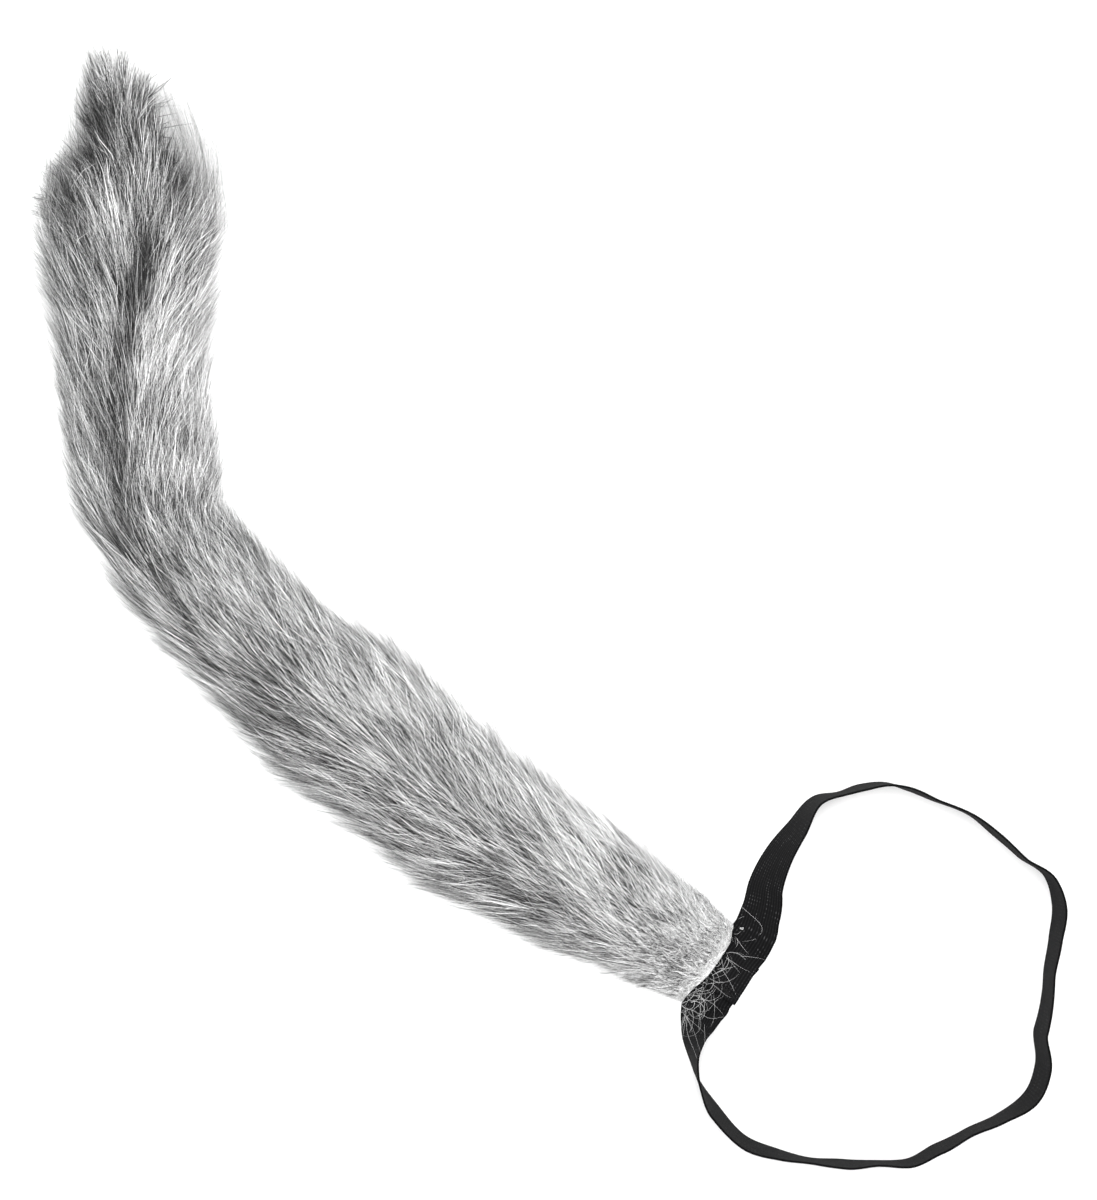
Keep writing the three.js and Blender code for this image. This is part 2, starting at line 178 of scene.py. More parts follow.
def band_frame(length):
    """At mm along the band: its foot, its lean in radians, the way it runs, the way in over the table,
    the way its width goes and the way its face looks."""
    turn = np.interp(np.mod(length, LAP), lap_lengths, lap_turns)
    run = unit(foot_point(turn + TANGENT_TURN) - foot_point(turn - TANGENT_TURN))
    inward = np.stack([-run[..., 1], run[..., 0], np.zeros_like(turn)], -1)
    lean = np.radians(lean_at(turn))[..., None]
    up = np.array([0.0, 0.0, 1.0])
    across = inward * np.cos(lean) + up * np.sin(lean)
    out = -inward * np.sin(lean) + up * np.cos(lean)
    return foot_point(turn), lean[..., 0], run, inward, across, out


# The tail's own frame.
bend_at, sleeve_at, fur_at, loft_at = (curve(TAIL[:, 0], TAIL[:, k]) for k in (1, 2, 3, 4))
groove_at = curve(PARTING[:, 0], PARTING[:, 1])
shift_at = curve(PARTING[:, 0], PARTING[:, 2])
level_at = curve(LEVEL[:, 0], LEVEL[:, 1])
bow_at = curve(BOW[:, 0], BOW[:, 1])
end_at = curve(TIP[:, 0], TIP[:, 1])
fringe_end_at = curve(FRINGE_TIP[:, 0], FRINGE_TIP[:, 1])
seam_foot, _, seam_run, seam_in, _, _ = band_frame(np.array(0.0))
LEAVING = math.atan2(-seam_in[1], -seam_in[0])
course_s = np.arange(0, COURSE_END + COURSE_STEP / 2, COURSE_STEP)
course_h = LEAVING + np.radians(bend_at(course_s))
middle_h = (course_h[1:] + course_h[:-1]) / 2
steps = np.stack([np.cos(middle_h), np.sin(middle_h)], -1) * COURSE_STEP * SLEEVE_LEN
start = (seam_foot + seam_in * MOUTH_LAP + seam_run * MOUTH_SHIFT)[:2]
course_p = np.vstack([start, start + np.cumsum(steps, axis=0)])


def section(s):
    """The sleeve's half width, low and high, and the fur's half width and high, at shares along."""
    opened = ease(s * SLEEVE_LEN, 0, MOUTH_RUN)
    tall = (1 - opened) * (MOUTH_SLIT + 2 * BACKING) + opened * sleeve_at(s) * SLEEVE_H
    low = (1 - opened) * MOUTH_FLOOR + opened * BEDDING
    half = ((1 - opened) * MOUTH_W + opened * sleeve_at(s) * SLEEVE_W) / 2
    high = low + tall
    return half, low, high, fur_at(s) * FUR_W / 2, np.maximum(loft_at(s) * FUR_H, high)


def tail_point(s, around, pile, straight=False):
    """Points on the tail: share along, radians from its left side over its top, share of the pile.
    With straight, the lines of the hair stop drawing together past the shoulders of the tip."""
    s, around, pile = np.broadcast_arrays(s, around, pile)
    half, low, high, fur_half, fur_high = section(s)
    if straight:
        fur_half = np.where(s > TUFT_FROM, TUFT_W * FUR_W / 2, fur_half)
    inset = np.maximum(-pile, 0) * BACKING
    share = np.maximum(pile, 0)
    middle = (low + high) / 2
    wide = half + (fur_half - half) * share - inset
    tall = (high - low) / 2 - inset
    up = np.sin(around) > 0
    reach = np.where(up, fur_high - middle, middle + FUR_SINK)
    rise = (tall + (reach - tall) * share) * np.sin(around)
    across = wide * np.cos(around)
    parting = groove_at(s) * np.exp(-((across - shift_at(s)) / PARTING_HALF) ** 2)
    rise = rise - parting * np.clip(np.sin(around), 0, 1) * np.clip(share * 2, 0, 1)
    h = np.interp(s, course_s, course_h)
    bow = bow_at(across) * (1 - ease(s, 0, BOW_RUN))
    x = np.interp(s, course_s, course_p[:, 0]) - np.sin(h) * across - np.cos(h) * bow
    y = np.interp(s, course_s, course_p[:, 1]) + np.cos(h) * across - np.sin(h) * bow
    return np.stack([x, y, middle + rise], -1)


def outward_at(s, around, pile, straight=True):
    """The way out of the pile at points on the tail."""
    return unit(tail_point(s, around, pile + 0.15, straight) - tail_point(s, around, pile, straight))


def world(points):
    """From mm about the loop's centre to metres in the row's frame."""
    return (points + LOOP_CENTRE) / 1000.0


# Meshes and materials.
def make_mesh(name, verts, quads, tris, floats, material):
    """A smooth mesh of points in mm. floats names numbers that are kept at the points."""
    quads, tris = np.asarray(quads, int).reshape(-1, 4), np.asarray(tris, int).reshape(-1, 3)
    me = bpy.data.meshes.new(name)
    me.vertices.add(len(verts))
    me.vertices.foreach_set("co", np.ascontiguousarray(world(verts), np.float32).ravel())
    loops = np.concatenate([quads.ravel(), tris.ravel()]).astype(np.int32)
    starts = np.concatenate([np.arange(len(quads)) * 4, len(quads) * 4 + np.arange(len(tris)) * 3])
    me.loops.add(len(loops))
    me.loops.foreach_set("vertex_index", loops)
    me.polygons.add(len(starts))
    me.polygons.foreach_set("loop_start", starts.astype(np.int32))
    me.update(calc_edges=True)
    me.polygons.foreach_set("use_smooth", np.full(len(starts), True))
    for key, values in floats.items():
        layer = me.attributes.new(key, "FLOAT", "POINT")
        layer.data.foreach_set("value", np.ascontiguousarray(values, np.float32).ravel())
    me.materials.append(material)
    o = bpy.data.objects.new(name, me)
    scene.collection.objects.link(o)
    return o


def in_fur(piece):
    """Shows a finished piece in place of the CAD fur."""
    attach(piece, "root")
    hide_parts("fur_tail")


def in_band(piece):
    """Shows a finished piece in place of the CAD band."""
    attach(piece, "root")
    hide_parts("waist_band")


def grid_faces(rows, cols):
    """Quads of a grid of rows by cols points, closed in the column direction."""
    r, c = np.meshgrid(np.arange(rows - 1), np.arange(cols), indexing="ij")
    n = (c + 1) % cols
    return np.stack([r * cols + c, r * cols + n, (r + 1) * cols + n, (r + 1) * cols + c], -1).reshape(-1, 4)


class Shader:
    """A new material. attribute, noise and maths add one node each and give back its output."""

    def __init__(self, name, values):
        self.material = bpy.data.materials.new(name)
        self.material.use_nodes = True
        self.nodes, self.links = self.material.node_tree.nodes, self.material.node_tree.links
        self.surface = self.nodes["Principled BSDF"]
        for key, value in values.items():
            self.surface.inputs[key].default_value = value

    def attribute(self, name):
        node = self.nodes.new("ShaderNodeAttribute")
        node.attribute_name = name
        return node.outputs["Fac"]

    def noise(self, scale, detail):
        node = self.nodes.new("ShaderNodeTexNoise")
        node.inputs["Scale"].default_value = scale
        node.inputs["Detail"].default_value = detail
        return node.outputs["Fac"]

    def maths(self, kind, *values):
        """values are numbers or other nodes' outputs."""
        node = self.nodes.new("ShaderNodeMath")
        node.operation = kind
        for socket, value in zip(node.inputs, values):
            if isinstance(value, (int, float)):
                socket.default_value = value
            else:
                self.links.new(value, socket)
        return node.outputs[0]

    def colour(self, tone, stops):
        """Colours the surface along a ramp of places, each with a grey or a colour."""
        node = self.nodes.new("ShaderNodeValToRGB")
        while len(node.color_ramp.elements) < len(stops):
            node.color_ramp.elements.new(0.5)
        for element, (at, grey) in zip(node.color_ramp.elements, stops):
            element.position = at
            element.color = (*grey, 1) if isinstance(grey, tuple) else (grey, grey, grey, 1)
        self.links.new(tone, node.inputs["Fac"])
        self.links.new(node.outputs["Color"], self.surface.inputs["Base Color"])

    def bump(self, height, distance):
        node = self.nodes.new("ShaderNodeBump")
        node.inputs["Strength"].default_value = 0.5
        node.inputs["Distance"].default_value = distance
        self.links.new(height, node.inputs["Height"])
        self.links.new(node.outputs["Normal"], self.surface.inputs["Normal"])


# The fine noise over all hair: its scale, and how far it moves the tone in all.
MOTTLE_SCALE, MOTTLE = 560, 1.1


def fur_material(name, stops, rough, sheen):
    """Hair or packed pile, its grey set by the tone at its points and by a fine noise."""
    shader = Shader(name, {"Roughness": rough, "Specular IOR Level": 0.35,
                           "Sheen Weight": sheen, "Sheen Roughness": 0.4})
    mottle = shader.maths("MULTIPLY_ADD", shader.noise(MOTTLE_SCALE, 2), MOTTLE, -MOTTLE / 2)
    shader.colour(shader.maths("ADD", shader.attribute("tone"), mottle), stops)
    return shader.material


pile_material = fur_material(
    "long_pile", [(0.0, 0.01), (0.25, 0.045), (0.55, 0.24), (0.8, 0.68), (1.0, 0.97)], 0.5, 0.1)
# The packed pile under the hair is dark grey as painted shade, standing for the shade deep between the
# strands.
pile_shade_material = fur_material("packed_pile_painted_shade", [(0.0, 0.02), (0.3, 0.06), (0.6, 0.14), (1.0, 0.5)], 0.9, 0.0)
loose_material = fur_material("loose_hair", [(0.0, 0.25), (0.5, 0.55), (1.0, 0.85)], 0.45, 0.1)


# Strands.
def strands(points, outward, width, roll, taper=0.55):
    """Ribbons along points (n, k, 3) in mm. width is each one's half width. Returns verts, quads, tris."""
    n, k, _ = points.shape
    along = unit(np.gradient(points, axis=1))
    flat = unit(np.cross(along, outward))
    up = np.cross(flat, along)
    side = flat * np.cos(roll)[:, None, None] + up * np.sin(roll)[:, None, None]
    t = np.linspace(0, 1, k)
    w = width[:, None] * (1 - t) ** taper
    left = points + side * w[..., None]
    right = points - side * w[..., None]
    body = np.stack([left, right], 2)[:, :-1].reshape(n, 2 * (k - 1), 3)
    verts = np.concatenate([body, points[:, -1:]], 1)
    per = 2 * (k - 1) + 1
    base = np.arange(n)[:, None] * per
    j = np.arange(k - 2)
    quads = np.stack([2 * j, 2 * j + 1, 2 * j + 3, 2 * j + 2], -1)
    quads = (base[:, :, None] + quads[None]).reshape(-1, 4)
    tris = base + np.array([2 * (k - 2), 2 * (k - 2) + 1, 2 * (k - 1)])
    return verts.reshape(-1, 3), quads, tris


def per_vertex(values):
    """Values (n, k) at the strand's points, spread over its ribbon's vertices."""
    pairs = np.repeat(values[:, :-1], 2, axis=1)
    return np.concatenate([pairs, values[:, -1:]], 1).ravel()


def hair_piece(name, ribbons, tone, material=pile_material):
    """Shows ribbons, with the tone at their points, in place of the CAD fur."""
    in_fur(make_mesh(name, *ribbons, {"tone": per_vertex(tone)}, material))


# The random fields reach to this share along and this many radians past the tail's sides.
FIELD_END, FIELD_UNDER = 1.1, 1.2


def field(shape, seed):
    """A smooth random field over share along and angle around, between about -1 and 1."""
    g = np.random.default_rng(seed).uniform(-1, 1, shape)

    def at(s, a):
        u = np.clip(s / FIELD_END, 0, 1) * (shape[0] - 1.001)
        v = np.clip((a + FIELD_UNDER) / (math.pi + 2 * FIELD_UNDER), 0, 1) * (shape[1] - 1.001)
        i, j = u.astype(int), v.astype(int)
        fu, fv = u - i, v - j
        fu, fv = fu * fu * (3 - 2 * fu), fv * fv * (3 - 2 * fv)
        return ((g[i, j] * (1 - fu) + g[i + 1, j] * fu) * (1 - fv)
                + (g[i, j + 1] * (1 - fu) + g[i + 1, j + 1] * fu) * fv)
    return at


drift_wide, drift_fine = field((14, 6), 11), field((52, 20), 12)
shade_wide, shade_fine = field((16, 7), 21), field((60, 22), 22)
lift_wide = field((24, 9), 31)


# Where hair roots lie: radians round the belly from each side, the first root's share along, the width
# that the last roots' line is read at, as a share of FUR_W, and how far back from the tip they stop.
UNDER, FIRST_ROOT, LAST_ROOT_W, LAST_ROOT_BACK = 0.85, 0.003, 0.44, 0.07
# The painted shade in the parting: how much darker it is for each mm of depth, and the shade's half width in
# mm.
PARTING_PAINTED_SHADE, PARTING_SHADE = 0.045, 7


def girth(s):
    """How many millimetres one radian round the tail is."""
    half, _, _, fur_half, fur_high = section(s)
    return (half + fur_half + fur_high) / 3


def last_root(around):
    """The share along of the last hair's root: sooner at the sides, which end in two shoulders."""
    return end_at(LAST_ROOT_W * FUR_W * np.cos(around)) - LAST_ROOT_BACK


def sag(s, height):
    """The tuft's hair sinks to the table past the end of the sleeve."""
    return height * (1 - TUFT_SINK * ease(s, TUFT_FROM, TUFT_TO))


def off_table(heights, low=0.3):
    """Keeps each hair (n, k) above the table, by its own small height in mm."""
    return np.maximum(heights, low + rng.uniform(0, 0.6, (len(heights), 1)))


def seeds(count, around=None):
    """Random roots: shares along and angles around, unless the angles are given."""
    a = rng.uniform(-UNDER, math.pi + UNDER, count) if around is None else around
    return FIRST_ROOT + rng.random(count) * (last_root(a) - FIRST_ROOT), a


def unrolled(s, a):
    """Places on the tail laid out flat, in mm."""
    return np.stack([s * SLEEVE_LEN, a * girth(s), np.zeros_like(s)], -1).tolist()


def tree(s, a):
    t = KDTree(len(s))
    for i, place in enumerate(unrolled(s, a)):
        t.insert(place, i)
    t.balance()
    return t


def nearest(t, s, a):
    return np.array([t.find(place)[1] for place in unrolled(s, a)])


def place_tone(s, a):
    """How much the tone changes at the named places, and the painted shade along the parting."""
    across = fur_at(s) * FUR_W / 2 * np.cos(a)
    top = np.clip(np.sin(a) * 3, 0, 1)
    # Painted shade in the parting, darker where it is deeper.
    total = -PARTING_PAINTED_SHADE * groove_at(s) * np.exp(-((across - shift_at(s)) / PARTING_SHADE) ** 2)
    for along, left, radius, change in PLACES:
        away = ((s - along) * SLEEVE_LEN) ** 2 + (across - left) ** 2
        total = total + change * np.exp(-away / radius ** 2)
    return total * top


# Hairs keep together in wisps, and wisps in tufts. Each has its own turn, lift, tone and length.
TUFTS, WISPS = 560, 11000
tuft_s, tuft_a = seeds(TUFTS)
wisp_s, wisp_a = seeds(WISPS)
tuft_of_wisp = nearest(tree(tuft_s, tuft_a), wisp_s, wisp_a)
wisp_tree = tree(wisp_s, wisp_a)
tuft_turn, wisp_turn = rng.normal(0, 5, TUFTS), rng.normal(0, 6, WISPS)
tuft_lift, wisp_lift = rng.normal(0, 0.06, TUFTS), rng.normal(0, 0.07, WISPS)
tuft_tone, wisp_tone = rng.normal(0, 0.09, TUFTS), rng.normal(0, 0.18, WISPS)
tuft_long, wisp_long = rng.normal(0, 0.09, TUFTS), rng.normal(0, 0.1, WISPS)

# How hair turns off the tail's way, in degrees: on the left of the parting, on its right, and how much
# more there past the bend. FAN_RUN is in mm, and DRIFT is how far the random fields turn it.
FAN_LEFT, FAN_RIGHT, FAN_BEND, FAN_RUN, DRIFT = 9, 11, 14, 20, 8
# The swirl behind the tip: share along, mm to the left, its length and width in mm, turn in degrees.
SWIRL_S, SWIRL_LEFT, SWIRL_LONG, SWIRL_WIDE, SWIRL_TURN = 0.87, 16, 11, 10, 32
# Hair beside the mouth is this share of its full length, which it has past the second place in mm.
MOUTH_SHORT, MOUTH_GROWS = 0.24, (4, 75)
# The pile's share at the roots, and the least and greatest share at a tip.
ROOT_PILE, LEAST_TIP, MOST_TIP, MOST_SIDE_TIP = 0.05, 0.12, 1.1, 0.28
# The tip's outline is read at this share of FUR_W. Hairs stop short of it by these random shares.
OUTLINE_W, END_SHORT, END_SPREAD = 0.485, 0.024, 0.009
# The fringe stands this many radians over the side, and thins out by this rate.
FRINGE_RISE, FRINGE_FADE = 0.15, 3.2
FULL_WAVE = 6.28


def hair_roots(count, sides, under):
    """Roots of a layer. They spread all round at the tip, where the tuft has no sleeve in it."""
    a = rng.uniform(-under, math.pi + under, count)
    if sides:
        swing = rng.normal(FRINGE_RISE, sides, count)
        a = np.where(rng.random(count) < 0.5, swing, math.pi - swing)
    s, a = seeds(count, a)
    wider = 0 if sides else (math.pi / (math.pi / 2 + under) - 1) * ease(s, ROUND_FROM, TUFT_FROM)
    return s, math.pi / 2 + (a - math.pi / 2) * (1 + wider)


def hair_turn(s, a, across, tuft, wisp, scatter):
    """How far hair turns to the left of the tail's way, in radians."""
    away = np.clip((shift_at(s) - across) / FAN_RUN, -1, 1)
    flare = away * (1 - 0.75 * np.cos(a) ** 2) * np.clip(2 * np.sin(a), -1, 1)
    fan = np.where(away > 0, FAN_RIGHT + FAN_BEND * ease(s, 0.6, 0.78), FAN_LEFT)
    turn = (fan * flare * (0.4 + 0.6 * ease(s * SLEEVE_LEN, 10, 80))
            + DRIFT * drift_wide(s, a) + DRIFT * drift_fine(s, a)
            + tuft_turn[tuft] + wisp_turn[wisp] + rng.normal(0, scatter, len(s)))
    swirl = np.exp(-((s - SWIRL_S) * SLEEVE_LEN / SWIRL_LONG) ** 2
                   - ((across - SWIRL_LEFT) / SWIRL_WIDE) ** 2) * (np.sin(a) > 0)
    turn = turn * (1 - 0.6 * ease(s, 0.88, 0.95))
    return np.clip(np.radians(turn - SWIRL_TURN * swirl), -1.0, 1.0)


def hair_tip(s, a, tuft, wisp, low, high, calm, sides):
    """The share of the pile that the hair's tips reach."""
    edge = np.abs(np.cos(a))
    reach = rng.uniform(low, high, len(s))
    if sides:
        reach = np.minimum(low + rng.exponential((high - low) / FRINGE_FADE, len(s)), high)
    tip = (reach - calm * edge + wisp_lift[wisp] * (1 + edge)
           + tuft_lift[tuft] * (1 + 1.4 * edge) + 0.1 * (1 + edge) * lift_wide(s, a))
    tip = np.maximum(tip * (1 - (0.13 - 0.07 * np.cos(a)) * ease(s, 0.8, 0.89)), LEAST_TIP)
    tip = tip * (1 - 0.06 * edge * ease(s, 0.08, 0.18) * (1 - ease(s, 0.42, 0.55)))
    return np.minimum(tip, MOST_TIP + MOST_SIDE_TIP * edge)


def hair_length(s, a, length, turn, tip, sides):
    """The hair's length, with what would pass the tip's outline cut off."""
    ending = fringe_end_at if sides else end_at
    ends = ending(OUTLINE_W * FUR_W * np.cos(a + length * np.sin(turn) / girth(s)) * np.clip(tip, 0.3, 1.3))
    ends = (ends - rng.exponential(END_SHORT, len(s)) * ease(ends, 0.99, 1.05)
            + rng.normal(0, END_SPREAD, len(s)))
    return np.minimum(length, np.maximum(ends - s, 0.02) * SLEEVE_LEN / np.cos(turn))


many = 1.0


def hair_layer(name, count, k, low, high, longest, width, scatter, tight, level, spread,
               calm=0.18, sides=0.0, under=UNDER):
    """One layer of the pile's strands, each with k points. Their tips reach from low to high, as shares
    of the pile, and calm less at the sides. longest and width are the greatest length and half width in
    mm. scatter turns them by random degrees, and tight draws them to their wisp. level is their tone and
    spread how far light and dark ones differ from it. under is how many radians round the belly they
    grow. With sides, they grow along the two sides alone, within about so many radians."""
    n = int(count * many)
    s0, a0 = hair_roots(n, sides, under)
    wisp = nearest(wisp_tree, s0, a0)
    tuft = tuft_of_wisp[wisp]
    mm = s0 * SLEEVE_LEN
    fresh = MOUTH_SHORT + (1 - MOUTH_SHORT) * ease(mm, *MOUTH_GROWS)
    length = longest * fresh * (1 + wisp_long[wisp] + tuft_long[tuft] + rng.normal(0, 0.12, n))
    turn = hair_turn(s0, a0, fur_at(s0) * FUR_W / 2 * np.cos(a0), tuft, wisp, scatter)
    tip = hair_tip(s0, a0, tuft, wisp, low, high, calm, sides)
    length = hair_length(s0, a0, length, turn, tip, sides)

    t = np.linspace(0, 1, k)[None]
    pull = tight * t ** 1.4
    s = (s0[:, None] + (wisp_s[wisp] - s0)[:, None] * pull
         + (length * np.cos(turn) / SLEEVE_LEN)[:, None] * t)
    a = a0[:, None] + (wisp_a[wisp] - a0)[:, None] * pull + (length * np.sin(turn) / girth(s0))[:, None] * t
    p = ROOT_PILE + (tip - ROOT_PILE)[:, None] * t ** 0.75
    crown = np.sqrt(np.clip(1 - np.clip((s0 - TUFT_FROM) / 0.1, 0, 1) ** 2, 0, 1))
    sunk = ROOT_PILE + p * (0.35 + 0.65 * crown[:, None]) + 0.6 * t
    points = tail_point(s, a, np.minimum(p, sunk), True)
    phase = rng.uniform(0, FULL_WAVE, (n, 3, 1))
    rate = rng.uniform(4, 7 + 1.6 * k, (n, 1))
    wave = np.stack([np.sin(t * rate + phase[:, c]) for c in range(3)], -1)
    points = points + wave * (rng.uniform(0.2, 1.05, n)[:, None] * np.minimum(t * 2, 1))[..., None]
    points[..., 2] = off_table(sag(s, points[..., 2]), 0.25)
    half = width * rng.uniform(0.6, 1.35, n) * (0.85 + 0.15 * ease(mm, 15, 110))
    ribbons = strands(points, outward_at(s, a, p), half, rng.uniform(-1.1, 1.1, n))

    bright = rng.random(n) < 0.55
    own = np.where(bright, rng.normal(spread, 0.1, n), rng.normal(-spread, 0.1, n))
    # Painted light in the tone: hair on the tail's right side is lighter and on its left side darker, as if
    # lit from the right, and both edges are a little lighter, as if light shone through them.
    tone = (level + 0.1 * shade_wide(s0, a0) + 0.12 * shade_fine(s0, a0) + wisp_tone[wisp] + tuft_tone[tuft]
            + level_at(s0) - 0.1 * np.cos(a0) + 0.02 * np.abs(np.cos(a0)) + own)[:, None] + 0.36 * (t - 0.5)
    tone = tone + place_tone(s, a) + 0.17 * (1 - ease(mm, 8, 90))[:, None] + 0.28 * ease(s, 1.0, 1.06)
    hair_piece(name, ribbons, np.clip(tone, 0, 1))


hair_layer("fur_deep", 15000, k=4, low=0.35, high=0.75, longest=36.0, width=0.28, scatter=10, tight=0.5,
           level=0.3, spread=0.2, calm=0.0, under=1.57)
hair_layer("fur_middle", 33000, k=4, low=0.6, high=0.93, longest=39.0, width=0.25, scatter=9, tight=0.55,
           level=0.43, spread=0.28)
hair_layer("fur_outer_a", 38000, k=4, low=0.7, high=1.0, longest=43.0, width=0.24, scatter=9, tight=0.55,
           level=0.5, spread=0.36)
hair_layer("fur_outer_b", 27000, k=5, low=0.78, high=1.04, longest=46.0, width=0.22, scatter=11, tight=0.45,
           level=0.52, spread=0.38)
hair_layer("fur_guard", 9500, k=7, low=0.85, high=1.12, longest=50.0, width=0.17, scatter=19, tight=0.2,
           level=0.74, spread=0.26)
hair_layer("fur_fringe", 8500, k=6, low=0.68, high=1.36, longest=50.0, width=0.07, scatter=15, tight=0.3,
           level=0.64, spread=0.2, calm=0.0, sides=0.4)


def edge_points():
    """Pointed tufts that stand out along both sides. The outer ones follow the left edge in a row."""
    tufts, outer, each, k = 160, 26, int(38 * many), 5
    mid_s = rng.uniform(0.06, 0.87, tufts)
    mid_s[:outer] = np.linspace(0.36, 0.8, outer) + rng.normal(0, 0.003, outer)
    low = rng.uniform(-0.15, 0.4, tufts)
    mid_a = np.where(rng.random(tufts) < 0.6, low, math.pi - low)
    mid_a[:outer] = rng.uniform(-0.05, 0.2, outer)
    size = rng.uniform(22, 36, tufts) / SLEEVE_LEN
    reach, shade = rng.uniform(1.05, 1.32, tufts), rng.normal(0.56, 0.1, tufts)
    reach[:outer] = rng.uniform(1.22, 1.38, outer)
    own = np.repeat(np.arange(tufts), each)
    n = len(own)
    t = np.linspace(0, 1, k)[None]

    def between(first, last, power=1.0):
        return first[:, None] + (last - first)[:, None] * t ** power
    s = between(mid_s[own] + rng.normal(0, 0.011, n), mid_s[own] + size[own] + rng.normal(0, 0.003, n))
    a = between(mid_a[own] + rng.normal(0, 0.13, n), mid_a[own] + rng.normal(0, 0.03, n), 1.3)
    p = between(rng.uniform(0.2, 0.5, n), reach[own] - 0.08 * np.abs(rng.normal(0, 1, n)), 0.8)
    points = tail_point(s, a, p, True)
    points[..., 2] = off_table(points[..., 2])
    ribbons = strands(points, outward_at(s, a, p), rng.uniform(0.06, 0.13, n), rng.uniform(-1, 1, n))
    # Painted light: tufts on the right side are lighter and those on the left darker, as if lit from the
    # right.
    tone = (shade[own] + rng.normal(0, 0.28, n) - 0.1 * np.cos(mid_a[own]))[:, None] + 0.3 * (t - 0.5)
    hair_piece("fur_points", ribbons, np.clip(tone, 0, 1))


edge_points()


def tuft_wisps():
    """Thin pale hair on both sides of the tuft, that the light passes through."""
    n, k = int(600 * many), 6
    right = rng.random(n) < 0.58
    swing = rng.uniform(-0.35, 0.7, n)
    a0 = np.where(right, math.pi - swing, swing)
    s0 = rng.uniform(0.88, 0.965, n)
    p0 = rng.uniform(0.4, 1.03, n)
    ends = fringe_end_at(OUTLINE_W * FUR_W * p0 * np.cos(a0)) - rng.exponential(0.022, n)
    t = np.linspace(0, 1, k)[None]
    s = s0[:, None] + np.maximum(ends - s0, 0.03)[:, None] * t
    a = a0[:, None] + rng.normal(0, 0.12, n)[:, None] * t ** 1.5
    pile = p0[:, None] * (1 - 0.08 * rng.random(n)[:, None] * t)
    points = tail_point(s, a, pile, True)
    wave = 1.3 * np.sin(t * rng.uniform(3, 8, (n, 1)) + rng.uniform(0, FULL_WAVE, (n, 1))) * 0.7 * t
    points[..., :2] = points[..., :2] + wave[..., None] * rng.uniform(-1, 1, (n, 1, 2))
    points[..., 2] = off_table(sag(s, points[..., 2]))
    ribbons = strands(points, outward_at(s, a, pile), rng.uniform(0.06, 0.12, n), rng.uniform(-1, 1, n))
    tone = rng.normal(0.64, 0.17, n)[:, None] + 0.2 * (t - 0.5)
    hair_piece("tuft_wisps", ribbons, np.clip(tone, 0, 1))


tuft_wisps()


def undercoat():
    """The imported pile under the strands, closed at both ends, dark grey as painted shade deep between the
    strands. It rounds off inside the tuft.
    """
    rows, cols = 130, 48
    first, crown_from, last = 0.012, 0.835, 0.967
    s, a = np.broadcast_arrays(first + np.linspace(0, 1, rows)[:, None] * (last - first),
                               np.linspace(0, 2 * math.pi, cols, endpoint=False))
    crown = np.sqrt(np.clip(1 - np.clip((s - crown_from) / (last - crown_from), 0, 1) ** 2, 0, 1))
    pile = 0.5 * ease(s * SLEEVE_LEN, 6, 60) * crown * (1 + 0.05 * drift_fine(s, a))
    points = tail_point(s, a, pile)
    points[..., 2] = np.maximum(sag(s, points[..., 2]), 1.6)
    verts = np.vstack([points.reshape(-1, 3), points[0].mean(0), points[-1].mean(0)])
    i, n = np.arange(cols), rows * cols
    tris = np.vstack([np.stack([(i + 1) % cols, i, np.full(cols, n)], -1),
                      np.stack([n - cols + i, n - cols + (i + 1) % cols, np.full(cols, n + 1)], -1)])
    # Painted shade: the pile's dark grey, lighter near the mouth.
    tone = 0.4 + 0.3 * shade_fine(s.ravel(), a.ravel())
    tone = np.clip(tone + 2.2 * (1 - ease(s.ravel() * SLEEVE_LEN, 8, 45)), 0, 3)
    tone = np.r_[tone, 0.4, 0.4] * 0.5
    in_fur(make_mesh("fur_undercoat", verts, grid_faces(rows, cols), tris, {"tone": tone}, pile_shade_material))


undercoat()


def sleeve_mouth():
    """The backing's frayed edge at the mouth, and both its faces for a short way in."""
    rows, cols, deep = 18, 96, 0.05
    a = np.linspace(0, 2 * math.pi, cols, endpoint=False)
    fray = 0.0009 * np.sin(a * 23) * np.sin(a * 7 + 1)
    s = np.r_[np.linspace(deep, 0.0, rows), np.linspace(0.0, deep, rows)]
    pile = np.r_[np.full(rows, -0.55), np.zeros(rows)]
    sway = np.exp(-s * SLEEVE_LEN / 2.0)
    points = tail_point(s[:, None] + fray[None] * sway[:, None], a[None], pile[:, None])
    shader = Shader("backing_cloth", {"Roughness": 0.9})
    weave = shader.noise(700, 4)
    shader.colour(weave, [(0.3, 0.3), (0.7, 0.7)])
    shader.bump(weave, 0.0004)
    in_fur(make_mesh("sleeve_mouth", points.reshape(-1, 3), grid_faces(2 * rows, cols), [], {},
                     shader.material))


sleeve_mouth()

# The band's ribs, the mm from one woven dot to the next, and how deep its ribs are in mm.
RIBS, DOT_PITCH, RIB_DEEP = 15, 1.8, 0.1


